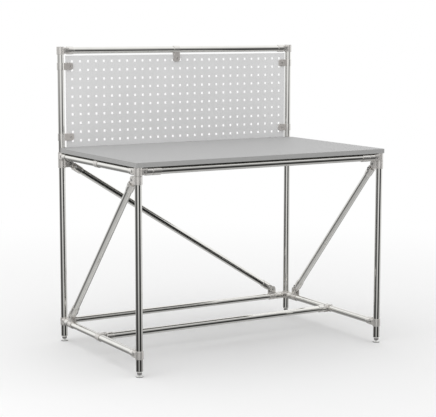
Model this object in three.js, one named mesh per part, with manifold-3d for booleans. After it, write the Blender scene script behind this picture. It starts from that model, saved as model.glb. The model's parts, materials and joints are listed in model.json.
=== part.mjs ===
// Workshop table: a frame of clamped round tubes, a laminate worktop and a perforated back panel.
// Millimetres, +Z up. X = 0 is the middle of the width, Y = 0 the middle of the depth
// with the front at -Y, and Z = 0 is the floor.
import * as THREE from "three";
import { mergeVertices } from "three/addons/utils/BufferGeometryUtils.js";
import Module from "manifold-3d";

const wasm = await Module();
wasm.setup();

// Driving dimensions of the whole table
const WORKTOP_WIDTH = 1200;
const WORKTOP_DEPTH = 750;
const WORKTOP_THICKNESS = 19;
const WORKTOP_HEIGHT = 852; // top face above the floor
const WORKTOP_OVERHANG = 16; // edge of the board beyond the axes of the legs
const WORKTOP_EDGE_ROUNDING = 1.5;
const POST_HEIGHT = 1286; // top of the rear posts above the floor
const LOWER_RAIL_HEIGHT = 88; // axis of the foot rails above the floor
const NOTCH_GAP = 4; // room round a rear post where it passes the board

// Tubes
const TUBE_DIAMETER = 28;
const TUBE_WALL = 1.8;
const ROUND_SIDES = 12; // flats round every tube and joint
const PIN_SIDES = 8; // flats round every pin and spindle
const BOLT_SIDES = 6; // hexagon heads and nuts

// Cast joints: a band round the tube that runs through, a neck, and a sleeve for each tube that ends there
const FIT_GAP = 0.3; // between pieces that touch
const JOINT_WALL = 2.4;
const BAND_LENGTH = 33;
const NECK_LENGTH = 11; // flat-sided block from the outside of the band to the sleeve
const NECK_HEIGHT = 27;
const NECK_WIDTH = 21; // between the two flats, one of which takes the clamping screw
const SLEEVE_LENGTH = 32;
const SOCKET_FLOOR = 2.5; // wall between the neck and the end of the tube
const CAP_THICKNESS = 2.5; // closed top of the joints that end the rear posts

// Swivel joints that hold the diagonal braces
const SWIVEL_OFFSET = 35; // pivot from the axis of the tube that carries it
const CHEEK_RADIUS = 15; // round end of the two cheeks of the fork
const CHEEK_THICKNESS = 6.5;
const TONGUE_THICKNESS = 10;
const TONGUE_RADIUS = 13;
const PIVOT_RADIUS = 4;
const PIVOT_HEAD_RADIUS = 8;
const PIVOT_HEAD_HEIGHT = 1.8;
const BRACE_SLEEVE_START = 22; // from the pivot
const BRACE_SLEEVE_LENGTH = 43;
const BRACE_FOOT_INSET = 82; // lower pivot from the axis of the rear post

// Perforated panel and the five clamps that hold it
const PANEL_THICKNESS = 2;
const PANEL_SIDE_GAP = 8; // panel to post, and panel to top rail
const PANEL_BOTTOM_GAP = 1.5; // panel to worktop
const PANEL_SETBACK = 4; // front face of the panel ahead of the axes of the posts
const PANEL_EDGE_MARGIN = 24; // least distance from an edge to the centre of a hole
const PANEL_TOP_MARGIN = 24.5; // top edge to the centres of the first row
const HOLE_PITCH = 38;
const HOLE_SIZE = 10;
const CLAMP_WIDTH = 30;
const CLAMP_WALL = 2.7; // ring round the tube
const CLAMP_GRIP = 32; // how far the jaws reach over the panel
const CLAMP_JAW = 6.5; // thickness of one jaw
const CLAMP_DROP = 2; // clamp below the middle between two rows of holes

// Board clamps on the front rail, next to the corner joints
const BOARD_CLAMP_LENGTH = 36;
const BOARD_CLAMP_FLANGE = 46; // reach of the flange from the axis of the rail
const BOARD_CLAMP_PLATE = 4;
const BOARD_CLAMP_GAP = 0.5; // to the sleeve beside it

// Levelling feet: a plug in the end of the tube and a pad on a threaded spindle
const PAD_RADIUS = 15;
const PAD_THICKNESS = 3.5;
const PAD_CHAMFER = 1.2;
const PAD_HUB_RADIUS = 8.5; // over the corners of its hexagon
const PAD_HUB_HEIGHT = 2.5;
const SPINDLE_RADIUS = 5;
const SPINDLE_LENGTH = 62; // above the pad's hub
const FOOT_GAP = 3; // spindle that shows between the pad's hub and the plug
const PLUG_COLLAR = 14; // plug below the end of the tube
const PLUG_DEPTH = 24; // plug inside the tube
const PLUG_NOSE_RADIUS = 9;
const PLUG_NOSE_HEIGHT = 9.5; // straight nose under the cone
const PLUG_RIM = 1; // straight rim under the tube before the cone
const THREAD_GAP = 0.3;

// One overrun serves all cuts
const OVERRUN = 2;
const WELD = 1e-4;

// Worked out from the sizes above
const TUBE_RADIUS = TUBE_DIAMETER / 2;
const TUBE_BORE = TUBE_RADIUS - TUBE_WALL;
const BORE_RADIUS = TUBE_RADIUS + FIT_GAP;
const JOINT_RADIUS = BORE_RADIUS + JOINT_WALL;
const LEG_X = WORKTOP_WIDTH / 2 - WORKTOP_OVERHANG;
const LEG_Y = WORKTOP_DEPTH / 2 - WORKTOP_OVERHANG;
const BOARD_UNDERSIDE = WORKTOP_HEIGHT - WORKTOP_THICKNESS;
const UPPER_RAIL_HEIGHT = BOARD_UNDERSIDE - FIT_GAP - Math.max(JOINT_RADIUS, BAND_LENGTH / 2);
const LEG_TOP = UPPER_RAIL_HEIGHT + BAND_LENGTH / 2;
const TOP_RAIL_HEIGHT = POST_HEIGHT - BAND_LENGTH / 2;
const SLEEVE_START = JOINT_RADIUS + NECK_LENGTH;
const SLEEVE_END = SLEEVE_START + SLEEVE_LENGTH;
const TUBE_START = SLEEVE_START + SOCKET_FLOOR + FIT_GAP; // end of a tube from the axis that it meets
const SPINDLE_START = PAD_THICKNESS + PAD_HUB_HEIGHT;
const PLUG_BOTTOM = SPINDLE_START + FOOT_GAP;
const LEG_BOTTOM = PLUG_BOTTOM + PLUG_COLLAR + FIT_GAP;
const SWIVEL_BAND_HEIGHT = UPPER_RAIL_HEIGHT - BAND_LENGTH - FIT_GAP;
const FORK_HALF = TONGUE_THICKNESS / 2 + FIT_GAP + CHEEK_THICKNESS;

const PANEL_WIDTH = 2 * (LEG_X - TUBE_RADIUS - PANEL_SIDE_GAP);
const PANEL_BOTTOM = WORKTOP_HEIGHT + PANEL_BOTTOM_GAP;
const PANEL_TOP = TOP_RAIL_HEIGHT - TUBE_RADIUS - PANEL_SIDE_GAP;
const PANEL_HEIGHT = PANEL_TOP - PANEL_BOTTOM;
const HOLE_COLUMNS = Math.floor((PANEL_WIDTH - 2 * PANEL_EDGE_MARGIN) / HOLE_PITCH) + 1;
const HOLE_ROWS = Math.floor((PANEL_HEIGHT - PANEL_TOP_MARGIN - PANEL_EDGE_MARGIN) / HOLE_PITCH) + 1;
const TOP_ROW = PANEL_HEIGHT / 2 - PANEL_TOP_MARGIN; // from the middle of the panel
const BOTTOM_ROW = TOP_ROW - (HOLE_ROWS - 1) * HOLE_PITCH;
const CLAMP_REACH = TUBE_RADIUS + PANEL_SIDE_GAP + CLAMP_GRIP; // tip of the jaws from the axis of the tube

// Finishes
const STEEL = new THREE.MeshStandardMaterial({ color: 0xc9c9c6, metalness: 1, roughness: 0.22 });
const CASTING = new THREE.MeshStandardMaterial({ color: 0xc6c5c2, metalness: 0.9, roughness: 0.35 });
const CLAMP_GREY = new THREE.MeshStandardMaterial({ color: 0xb8b6b2, metalness: 0.9, roughness: 0.45 });
const LAMINATE = new THREE.MeshStandardMaterial({ color: 0xb5b5b5, metalness: 0, roughness: 0.55 });
const SHEET = new THREE.MeshStandardMaterial({ color: 0xc8c8c8, metalness: 0.1, roughness: 0.5 });
const PLUG_GREY = new THREE.MeshStandardMaterial({ color: 0x4a4a4a, metalness: 0, roughness: 0.6 });

// Solids and geometries

function solid(geometry) {
  const bare = geometry.clone();
  bare.deleteAttribute("normal");
  bare.deleteAttribute("uv");
  const merged = mergeVertices(bare, WELD);
  const mesh = new wasm.Mesh({
    numProp: 3,
    vertProperties: merged.attributes.position.array,
    triVerts: new Uint32Array(merged.index.array),
  });
  return new wasm.Manifold(mesh);
}

function geometryOf(manifold) {
  const mesh = manifold.getMesh();
  const geometry = new THREE.BufferGeometry();
  geometry.setAttribute("position", new THREE.BufferAttribute(mesh.vertProperties, 3));
  geometry.setIndex(new THREE.BufferAttribute(mesh.triVerts, 1));
  geometry.computeVertexNormals();
  return geometry;
}

// Three.js makes its round shapes along Y: turn one to lie along the axis named
function alongAxis(geometry, axis) {
  if (axis === "x") geometry.rotateZ(-Math.PI / 2);
  if (axis === "z") geometry.rotateX(Math.PI / 2);
  return geometry;
}

// A turned shape from points of radius and distance along the axis
function turned(points, axis, sides = ROUND_SIDES) {
  const profile = points.map(([radius, along]) => new THREE.Vector2(radius, along));
  return alongAxis(new THREE.LatheGeometry(profile, sides), axis);
}

// A rod along an axis between two distances from the origin, which may be given in either order
function rod(radius, from, to, axis, sides = ROUND_SIDES) {
  const [low, high] = from < to ? [from, to] : [to, from];
  return solid(turned([[0, low], [radius, low], [radius, high], [0, high]], axis, sides));
}

// An outline in X and Z, given thickness along Y between two distances. An arc is drawn with
// two steps for each curve segment, and every arc here is a half circle as smooth as the tubes.
function slab(shape, fromY, toY) {
  const geometry = new THREE.ExtrudeGeometry(shape, {
    depth: toY - fromY,
    bevelEnabled: false,
    curveSegments: ROUND_SIDES / 4,
  });
  geometry.rotateX(Math.PI / 2);
  geometry.translate(0, toY, 0);
  return solid(geometry);
}

function rectangle(fromX, fromZ, toX, toZ) {
  const shape = new THREE.Shape();
  shape.moveTo(fromX, fromZ);
  shape.lineTo(toX, fromZ);
  shape.lineTo(toX, toZ);
  shape.lineTo(fromX, toZ);
  shape.closePath();
  return shape;
}

// A strip from one distance along X to a round end about another
function roundEnded(fromX, centreX, halfWidth) {
  const shape = new THREE.Shape();
  shape.moveTo(fromX, -halfWidth);
  shape.lineTo(centreX, -halfWidth);
  shape.absarc(centreX, 0, halfWidth, -Math.PI / 2, Math.PI / 2, false);
  shape.lineTo(fromX, halfWidth);
  shape.closePath();
  return shape;
}

// Pieces

function tube(length, axis) {
  const [low, high] = [-length / 2, length / 2];
  return turned(
    [[TUBE_BORE, low], [TUBE_RADIUS, low], [TUBE_RADIUS, high], [TUBE_BORE, high], [TUBE_BORE, low]],
    axis,
  );
}

function worktop() {
  const [halfWidth, halfDepth] = [WORKTOP_WIDTH / 2, WORKTOP_DEPTH / 2];
  const inset = WORKTOP_EDGE_ROUNDING;
  const notchX = LEG_X - TUBE_RADIUS - NOTCH_GAP;
  const notchY = LEG_Y - TUBE_RADIUS - NOTCH_GAP;
  // The bevel adds the rounding back on every side, also inside the notches
  const shape = new THREE.Shape();
  shape.moveTo(-halfWidth + inset, -halfDepth + inset);
  shape.lineTo(halfWidth - inset, -halfDepth + inset);
  shape.lineTo(halfWidth - inset, notchY - inset);
  shape.lineTo(notchX - inset, notchY - inset);
  shape.lineTo(notchX - inset, halfDepth - inset);
  shape.lineTo(-notchX + inset, halfDepth - inset);
  shape.lineTo(-notchX + inset, notchY - inset);
  shape.lineTo(-halfWidth + inset, notchY - inset);
  shape.closePath();
  const geometry = new THREE.ExtrudeGeometry(shape, {
    depth: WORKTOP_THICKNESS - 2 * inset,
    bevelThickness: inset,
    bevelSize: inset,
    bevelSegments: 2,
  });
  geometry.translate(0, 0, BOARD_UNDERSIDE + inset);
  return geometry;
}

function perforatedPanel() {
  const sheet = slab(
    rectangle(-PANEL_WIDTH / 2, -PANEL_HEIGHT / 2, PANEL_WIDTH / 2, PANEL_HEIGHT / 2),
    0,
    PANEL_THICKNESS,
  );
  const half = HOLE_SIZE / 2;
  const hole = slab(rectangle(-half, -half, half, half), -OVERRUN, PANEL_THICKNESS + OVERRUN);
  let row = null;
  for (let column = 0; column < HOLE_COLUMNS; column++) {
    const cut = hole.translate((column - (HOLE_COLUMNS - 1) / 2) * HOLE_PITCH, 0, 0);
    row = row ? row.add(cut) : cut;
  }
  let body = sheet;
  for (let line = 0; line < HOLE_ROWS; line++) {
    body = body.subtract(row.translate(0, 0, TOP_ROW - line * HOLE_PITCH));
  }
  return geometryOf(body);
}

// The block between a joint's band and one of its sleeves, narrow across the axis of its screw
function neck(axis, side, screwAxis) {
  const length = SLEEVE_START + SOCKET_FLOOR;
  const size = { x: NECK_HEIGHT, y: NECK_HEIGHT, z: NECK_HEIGHT, [screwAxis]: NECK_WIDTH, [axis]: length };
  const centre = { x: 0, y: 0, z: 0, [axis]: (side * length) / 2 };
  const block = new THREE.BoxGeometry(size.x, size.y, size.z);
  block.translate(centre.x, centre.y, centre.z);
  return solid(block);
}

// One cast joint. branches: [axis, side, screw axis] for each tube that ends in it.
// capped closes the upper end of the band over the tube.
function castJoint(throughAxis, branches, capped = false) {
  const halfBand = BAND_LENGTH / 2;
  let body = rod(JOINT_RADIUS, -halfBand, halfBand, throughAxis);
  for (const [axis, side, screwAxis] of branches) {
    const sleeve = rod(JOINT_RADIUS, side * SLEEVE_START, side * SLEEVE_END, axis);
    body = body.add(neck(axis, side, screwAxis)).add(sleeve);
  }
  const boreTop = capped ? halfBand - CAP_THICKNESS : halfBand + OVERRUN;
  body = body.subtract(rod(BORE_RADIUS, -halfBand - OVERRUN, boreTop, throughAxis));
  for (const [axis, side] of branches) {
    const floor = side * (SLEEVE_START + SOCKET_FLOOR);
    body = body.subtract(rod(BORE_RADIUS, floor, side * (SLEEVE_END + OVERRUN), axis));
  }
  return geometryOf(body);
}

// Fork half of a swivel joint: a band round the carrying tube along Z and two cheeks towards +X.
// The pivot pin belongs to the fork and passes through the tongue.
function swivelFork() {
  const gap = TONGUE_THICKNESS / 2 + FIT_GAP;
  const cheeks = slab(roundEnded(0, SWIVEL_OFFSET, CHEEK_RADIUS), -FORK_HALF, FORK_HALF);
  const slot = rectangle(JOINT_RADIUS, -SWIVEL_OFFSET, 2 * SWIVEL_OFFSET, SWIVEL_OFFSET);
  let body = rod(JOINT_RADIUS, -BAND_LENGTH / 2, BAND_LENGTH / 2, "z")
    .add(cheeks.subtract(slab(slot, -gap, gap)))
    .subtract(rod(BORE_RADIUS, -BAND_LENGTH, BAND_LENGTH, "z"))
    .add(rod(PIVOT_RADIUS, -FORK_HALF, FORK_HALF, "y", PIN_SIDES).translate(SWIVEL_OFFSET, 0, 0));
  const headRoot = FORK_HALF - CHEEK_THICKNESS / 2;
  const headTop = FORK_HALF + PIVOT_HEAD_HEIGHT;
  for (const side of [-1, 1]) {
    const head = rod(PIVOT_HEAD_RADIUS, side * headRoot, side * headTop, "y", BOLT_SIDES);
    body = body.add(head.translate(SWIVEL_OFFSET, 0, 0));
  }
  return geometryOf(body);
}

// Tongue half of a swivel joint: the pivot is at the origin and the brace runs towards +X
function swivelTongue() {
  const half = TONGUE_THICKNESS / 2;
  const sleeveEnd = BRACE_SLEEVE_START + BRACE_SLEEVE_LENGTH;
  const tongue = slab(roundEnded(-BRACE_SLEEVE_START - SOCKET_FLOOR / 2, 0, TONGUE_RADIUS), -half, half);
  const body = rod(JOINT_RADIUS, -BRACE_SLEEVE_START, -sleeveEnd, "x")
    .add(tongue)
    .subtract(rod(BORE_RADIUS, -BRACE_SLEEVE_START - SOCKET_FLOOR, -sleeveEnd - OVERRUN, "x"))
    .subtract(rod(PIVOT_RADIUS + FIT_GAP, -half - OVERRUN, half + OVERRUN, "y", PIN_SIDES));
  return geometryOf(body);
}

// Panel clamp: a ring round the tube along Z and two jaws towards +X that grip the sheet between them
function panelClamp() {
  const sheetFront = -PANEL_SETBACK - FIT_GAP;
  const sheetBack = PANEL_THICKNESS - PANEL_SETBACK + FIT_GAP;
  const outline = roundEnded(0, CLAMP_REACH - CLAMP_WIDTH / 2, CLAMP_WIDTH / 2);
  const jaws = slab(outline, sheetFront - CLAMP_JAW, sheetBack + CLAMP_JAW);
  const sheetEdge = TUBE_RADIUS + PANEL_SIDE_GAP - FIT_GAP;
  const slot = rectangle(sheetEdge, -CLAMP_WIDTH, CLAMP_REACH + OVERRUN, CLAMP_WIDTH);
  const body = rod(BORE_RADIUS + CLAMP_WALL, -CLAMP_WIDTH / 2, CLAMP_WIDTH / 2, "z")
    .add(jaws.subtract(slab(slot, sheetFront, sheetBack)))
    .subtract(rod(BORE_RADIUS, -CLAMP_WIDTH, CLAMP_WIDTH, "z"));
  return geometryOf(body);
}

// Board clamp: a ring round the rail along X, with a flange under the board towards +Y
function boardClamp() {
  const [half, top] = [BOARD_CLAMP_LENGTH / 2, JOINT_RADIUS];
  const flange = slab(rectangle(-half, top - BOARD_CLAMP_PLATE, half, top), 0, BOARD_CLAMP_FLANGE);
  const body = rod(JOINT_RADIUS, -half, half, "x")
    .add(flange)
    .subtract(rod(BORE_RADIUS, -half - OVERRUN, half + OVERRUN, "x"));
  return geometryOf(body);
}

function levellingFoot() {
  const pad = turned(
    [
      [0, 0],
      [PAD_RADIUS, 0],
      [PAD_RADIUS, PAD_THICKNESS - PAD_CHAMFER],
      [PAD_RADIUS - PAD_CHAMFER, PAD_THICKNESS],
      [0, PAD_THICKNESS],
    ],
    "z",
  );
  const root = PAD_THICKNESS / 2;
  const body = solid(pad)
    .add(rod(PAD_HUB_RADIUS, root, SPINDLE_START, "z", BOLT_SIDES))
    .add(rod(SPINDLE_RADIUS, root, SPINDLE_START + SPINDLE_LENGTH, "z", PIN_SIDES));
  return geometryOf(body);
}

// Threaded plug in the end of a leg: a cone under the tube and a straight nose
function legPlug() {
  const inTube = TUBE_BORE - FIT_GAP;
  const top = PLUG_COLLAR + PLUG_DEPTH;
  const outside = turned(
    [
      [0, 0],
      [PLUG_NOSE_RADIUS, 0],
      [PLUG_NOSE_RADIUS, PLUG_NOSE_HEIGHT],
      [TUBE_RADIUS, PLUG_COLLAR - PLUG_RIM],
      [TUBE_RADIUS, PLUG_COLLAR],
      [inTube, PLUG_COLLAR],
      [inTube, top],
      [0, top],
    ],
    "z",
  );
  const thread = rod(SPINDLE_RADIUS + THREAD_GAP, -OVERRUN, top + OVERRUN, "z", PIN_SIDES);
  return geometryOf(solid(outside).subtract(thread));
}

// Assembly

const table = new THREE.Group();

function place(name, geometry, material, x, y, z, parent = table) {
  const mesh = new THREE.Mesh(geometry, material);
  mesh.name = name;
  mesh.position.set(x, y, z);
  parent.add(mesh);
  return mesh;
}

const SIDES = [["left", -1], ["right", 1]];

function addUprights() {
  const legLength = LEG_TOP - LEG_BOTTOM;
  const postTop = POST_HEIGHT - CAP_THICKNESS - FIT_GAP;
  const postLength = postTop - LEG_BOTTOM;
  for (const [side, sign] of SIDES) {
    const x = sign * LEG_X;
    place(`leg_front_${side}`, tube(legLength, "z"), STEEL, x, -LEG_Y, LEG_BOTTOM + legLength / 2);
    place(`post_rear_${side}`, tube(postLength, "z"), STEEL, x, LEG_Y, LEG_BOTTOM + postLength / 2);
    for (const [end, y] of [["front", -LEG_Y], ["rear", LEG_Y]]) {
      place(`leg_plug_${end}_${side}`, legPlug(), PLUG_GREY, x, y, PLUG_BOTTOM);
      place(`levelling_foot_${end}_${side}`, levellingFoot(), STEEL, x, y, 0);
    }
  }
}

function addRails() {
  const across = 2 * (LEG_X - TUBE_START);
  const deep = 2 * (LEG_Y - TUBE_START);
  place("top_rail", tube(across, "x"), STEEL, 0, LEG_Y, TOP_RAIL_HEIGHT);
  place("upper_rail_front", tube(across, "x"), STEEL, 0, -LEG_Y, UPPER_RAIL_HEIGHT);
  place("upper_rail_rear", tube(across, "x"), STEEL, 0, LEG_Y, UPPER_RAIL_HEIGHT);
  place("upper_rail_centre", tube(across, "x"), STEEL, 0, 0, UPPER_RAIL_HEIGHT);
  place("lower_rail_rear", tube(across, "x"), STEEL, 0, LEG_Y, LOWER_RAIL_HEIGHT);
  place("lower_rail_centre", tube(across, "x"), STEEL, 0, 0, LOWER_RAIL_HEIGHT);
  for (const [side, sign] of SIDES) {
    place(`upper_rail_${side}`, tube(deep, "y"), STEEL, sign * LEG_X, 0, UPPER_RAIL_HEIGHT);
    place(`lower_rail_${side}`, tube(deep, "y"), STEEL, sign * LEG_X, 0, LOWER_RAIL_HEIGHT);
  }
}

// The flats of a neck face outwards: to the sides on a rail that runs deep, to the front and back
// on one that runs across, and up and down at a centre rail
function addJoints() {
  for (const [side, sign] of SIDES) {
    const x = sign * LEG_X;
    const across = ["x", -sign, "y"];
    const acrossCentre = ["x", -sign, "z"];
    const deepFromFront = ["y", 1, "x"];
    const deepFromRear = ["y", -1, "x"];
    const joints = [
      [`corner_joint_front_${side}`, "z", [across, deepFromFront], -LEG_Y, UPPER_RAIL_HEIGHT],
      [`corner_joint_rear_${side}`, "z", [across, deepFromRear], LEG_Y, UPPER_RAIL_HEIGHT],
      [`foot_joint_front_${side}`, "z", [deepFromFront], -LEG_Y, LOWER_RAIL_HEIGHT],
      [`foot_joint_rear_${side}`, "z", [across, deepFromRear], LEG_Y, LOWER_RAIL_HEIGHT],
      [`upper_tee_${side}`, "y", [acrossCentre], 0, UPPER_RAIL_HEIGHT],
      [`lower_tee_${side}`, "y", [acrossCentre], 0, LOWER_RAIL_HEIGHT],
    ];
    for (const [name, axis, branches, y, z] of joints) {
      place(name, castJoint(axis, branches), CASTING, x, y, z);
    }
    place(`top_joint_${side}`, castJoint("z", [across], true), CASTING, x, LEG_Y, TOP_RAIL_HEIGHT);
  }
}

// A brace with its swivel joints, in a frame where +X runs from the upright that carries its upper end
// to the upright beside its foot, which stands at a distance of span
function addBrace(name, span, x, y, turn) {
  const plane = new THREE.Group();
  plane.position.set(x, y, 0);
  plane.rotation.z = turn;
  table.add(plane);
  const head = new THREE.Vector2(SWIVEL_OFFSET, SWIVEL_BAND_HEIGHT);
  const foot = new THREE.Vector2(span - BRACE_FOOT_INSET, LOWER_RAIL_HEIGHT + SWIVEL_OFFSET);
  const run = foot.clone().sub(head);
  const pivots = run.length();
  const tilt = Math.atan2(-run.y, run.x);

  place(`${name}_upper_fork`, swivelFork(), CASTING, 0, 0, SWIVEL_BAND_HEIGHT, plane);
  const lowerFork = place(`${name}_lower_fork`, swivelFork(), CASTING, foot.x, 0, LOWER_RAIL_HEIGHT, plane);
  lowerFork.rotation.y = -Math.PI / 2;

  const line = new THREE.Group();
  line.position.set(head.x, 0, head.y);
  line.rotation.y = tilt;
  plane.add(line);
  const upper = place(`${name}_upper_tongue`, swivelTongue(), CASTING, 0, 0, 0, line);
  upper.rotation.z = Math.PI;
  place(`${name}_lower_tongue`, swivelTongue(), CASTING, pivots, 0, 0, line);
  const ends = 2 * (BRACE_SLEEVE_START + SOCKET_FLOOR + FIT_GAP);
  place(name, tube(pivots - ends, "x"), STEEL, pivots / 2, 0, 0, line);
}

function addBraces() {
  addBrace("brace_left", 2 * LEG_Y, -LEG_X, -LEG_Y, Math.PI / 2);
  addBrace("brace_right", 2 * LEG_Y, LEG_X, -LEG_Y, Math.PI / 2);
  addBrace("brace_rear", 2 * LEG_X, -LEG_X, LEG_Y, 0);
}

function addPanel() {
  const panelMiddle = (PANEL_TOP + PANEL_BOTTOM) / 2;
  place("perforated_panel", perforatedPanel(), SHEET, 0, LEG_Y - PANEL_SETBACK, panelMiddle);
  // Each clamp sits between the last two rows of holes, the top one beside the middle column
  const upper = panelMiddle + TOP_ROW - HOLE_PITCH / 2 - CLAMP_DROP;
  const lower = panelMiddle + BOTTOM_ROW + HOLE_PITCH / 2 - CLAMP_DROP;
  for (const [side, sign] of SIDES) {
    for (const [level, z] of [["upper", upper], ["lower", lower]]) {
      const clamp = place(`panel_clamp_${level}_${side}`, panelClamp(), CLAMP_GREY, sign * LEG_X, LEG_Y, z);
      clamp.scale.x = -sign;
    }
  }
  const topX = -HOLE_PITCH / 2;
  const topClamp = place("panel_clamp_top", panelClamp(), CLAMP_GREY, topX, LEG_Y, TOP_RAIL_HEIGHT);
  topClamp.rotation.y = Math.PI / 2;
}

function addWorktop() {
  place("worktop", worktop(), LAMINATE, 0, 0, 0);
  const x = LEG_X - SLEEVE_END - BOARD_CLAMP_GAP - BOARD_CLAMP_LENGTH / 2;
  for (const [side, sign] of SIDES) {
    place(`board_clamp_${side}`, boardClamp(), CASTING, sign * x, -LEG_Y, UPPER_RAIL_HEIGHT);
  }
}

addUprights();
addRails();
addJoints();
addBraces();
addPanel();
addWorktop();

export default table;
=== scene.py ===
"""Looks of the workshop table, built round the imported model. Metres, +Z up, front at -Y."""
import json
import math

import bmesh
import bpy
import numpy as np
from mathutils import Matrix, Vector

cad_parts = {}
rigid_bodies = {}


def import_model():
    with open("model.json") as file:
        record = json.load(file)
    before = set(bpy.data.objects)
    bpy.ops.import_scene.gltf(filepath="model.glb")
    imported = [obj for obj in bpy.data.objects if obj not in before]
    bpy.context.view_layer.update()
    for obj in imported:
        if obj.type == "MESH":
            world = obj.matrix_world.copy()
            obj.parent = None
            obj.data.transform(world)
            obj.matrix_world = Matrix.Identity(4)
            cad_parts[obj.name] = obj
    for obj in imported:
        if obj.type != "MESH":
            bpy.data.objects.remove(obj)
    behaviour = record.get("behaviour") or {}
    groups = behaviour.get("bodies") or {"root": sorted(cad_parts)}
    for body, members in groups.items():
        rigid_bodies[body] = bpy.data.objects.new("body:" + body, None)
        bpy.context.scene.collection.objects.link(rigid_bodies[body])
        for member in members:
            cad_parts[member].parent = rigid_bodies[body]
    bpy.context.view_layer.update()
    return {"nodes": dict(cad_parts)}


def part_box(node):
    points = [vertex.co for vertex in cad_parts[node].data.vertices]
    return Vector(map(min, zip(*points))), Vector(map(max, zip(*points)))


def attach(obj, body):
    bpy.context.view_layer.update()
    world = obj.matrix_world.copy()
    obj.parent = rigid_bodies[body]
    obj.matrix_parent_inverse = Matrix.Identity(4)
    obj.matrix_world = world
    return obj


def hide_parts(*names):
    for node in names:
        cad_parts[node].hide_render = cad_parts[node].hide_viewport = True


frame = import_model()
scene = bpy.context.scene

MM = 0.001
X, Y, Z = Vector((1, 0, 0)), Vector((0, 1, 0)), Vector((0, 0, 1))

# Camera, worked out from the edges of the board, the panel and the uprights
IMAGE_WIDTH = 436  # pixels
FOCAL_LENGTH = 1348.3  # pixels
SENSOR = 36  # millimetres
CAMERA_PLACE = Vector((-2.967, -4.984, 1.389))
CAMERA_AZIMUTH = math.radians(-30.67)
CAMERA_ELEVATION = math.radians(7.85)
CAMERA_ROLL = math.radians(0.07)


def add_camera():
    camera = bpy.data.cameras.new("camera")
    camera.sensor_width = SENSOR
    camera.lens = FOCAL_LENGTH / IMAGE_WIDTH * SENSOR
    holder = bpy.data.objects.new("camera", camera)
    turn = (
        Matrix.Rotation(CAMERA_AZIMUTH, 4, "Z")
        @ Matrix.Rotation(math.pi / 2 - CAMERA_ELEVATION, 4, "X")
        @ Matrix.Rotation(CAMERA_ROLL, 4, "Z")
    )
    holder.matrix_world = Matrix.Translation(CAMERA_PLACE) @ turn
    scene.collection.objects.link(holder)
    scene.camera = holder


# Sizes read from the frame


def middle(node):
    low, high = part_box(node)
    return (low + high) / 2


def extent(node):
    low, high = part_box(node)
    return high - low


LEG_X = middle("leg_front_right").x
LEG_Y = middle("post_rear_right").y
UPPER_RAIL_Z = middle("upper_rail_front").z
LOWER_RAIL_Z = middle("lower_rail_rear").z
TOP_RAIL_Z = middle("top_rail").z
TUBE_RADIUS = extent("top_rail").y / 2
BAND_LENGTH = extent("foot_joint_front_left").z
JOINT_RADIUS = extent("foot_joint_front_left").x / 2
SLEEVE_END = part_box("foot_joint_front_left")[1].y + LEG_Y

# Sizes that the solids and the fine pieces share
TUBE_WALL = 1.8 * MM
FIT_GAP = 0.3 * MM
BORE_RADIUS = TUBE_RADIUS + FIT_GAP
NECK_LENGTH = 11 * MM
NECK_HEIGHT = 27 * MM
SOCKET_FLOOR = 2.5 * MM
CAP_THICKNESS = 2.5 * MM
SLEEVE_START = JOINT_RADIUS + NECK_LENGTH
SWIVEL_OFFSET = 35 * MM
CHEEK_RADIUS = 15 * MM
CHEEK_THICKNESS = 6.5 * MM
TONGUE_THICKNESS = 10 * MM
TONGUE_RADIUS = 13 * MM
FORK_HALF = TONGUE_THICKNESS / 2 + FIT_GAP + CHEEK_THICKNESS
BRACE_SLEEVE_START = 22 * MM
BRACE_SLEEVE_END = 65 * MM
BRACE_FOOT_INSET = 82 * MM
SWIVEL_BAND_Z = UPPER_RAIL_Z - BAND_LENGTH - FIT_GAP
PANEL_THICKNESS = 2 * MM
PANEL_SETBACK = 4 * MM
PANEL_SIDE_GAP = 8 * MM
CLAMP_WIDTH = 30 * MM
CLAMP_GRIP = 32 * MM
CLAMP_JAW = 6.5 * MM
CLAMP_REACH = TUBE_RADIUS + PANEL_SIDE_GAP + CLAMP_GRIP
BOARD_CLAMP_FLANGE = 46 * MM
BOARD_CLAMP_PLATE = 4 * MM

# Faces round what is turned
ROUND_STEPS = 64  # tubes and joints
HEAD_STEPS = 48  # socket screws
BOSS_STEPS = 40  # bosses and washers
POCKET_STEPS = 32  # screw pockets and threads
SMALL_STEPS = 24  # small screws and holes

# Edges of castings and steel parts
CAST_EDGE = 0.9 * MM  # rounding of cast edges
MOUTH_EDGE = 0.6 * MM  # rounding where a tube enters
SHOULDER_EDGE = 1.5 * MM  # rounding at the closed end of a sleeve
HEAD_EDGE = 0.5 * MM  # rounding of screw heads and nuts
CUT_EDGE = 0.4 * MM  # rounding of cut tubes, clamp rings and the hub of a foot
THIN_EDGE = 0.2 * MM  # rounding of washers

# Clamping screws, and the branch of a cast joint round them
TAPER_LENGTH = 8 * MM  # taper at the mouth of a sleeve
TAPER_DEPTH = 0.9 * MM
SLIT = 1.5 * MM  # clamping gap
SLIT_SHARE = 0.7  # of the length of a sleeve
SCREW_OUT = JOINT_RADIUS + NECK_LENGTH / 2  # screw from the axis of the tube that runs through
BOSS_END = 34 * MM  # flat-faced part of a branch, from the axis of the tube that runs through
BOSS_FACE = JOINT_RADIUS - 0.3 * MM  # flat face from the axis of the branch
BOSS_EDGE = 5 * MM  # rounding along the flat-faced part
POCKET_RADIUS = 5.8 * MM
POCKET_DEPTH = 5 * MM
SHANK_HOLE_RADIUS = 3.2 * MM
HEAD_RADIUS = 4.6 * MM
HEAD_HEIGHT = 4.4 * MM
SOCKET_ACROSS = 5 * MM  # hexagon socket of the screws across its flats
SOCKET_DEPTH = 2.8 * MM
NUT_ACROSS = 10 * MM  # pocket of a nut across its flats
NUT_HEIGHT = 4 * MM
NUT_BORE = 3 * MM

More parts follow.
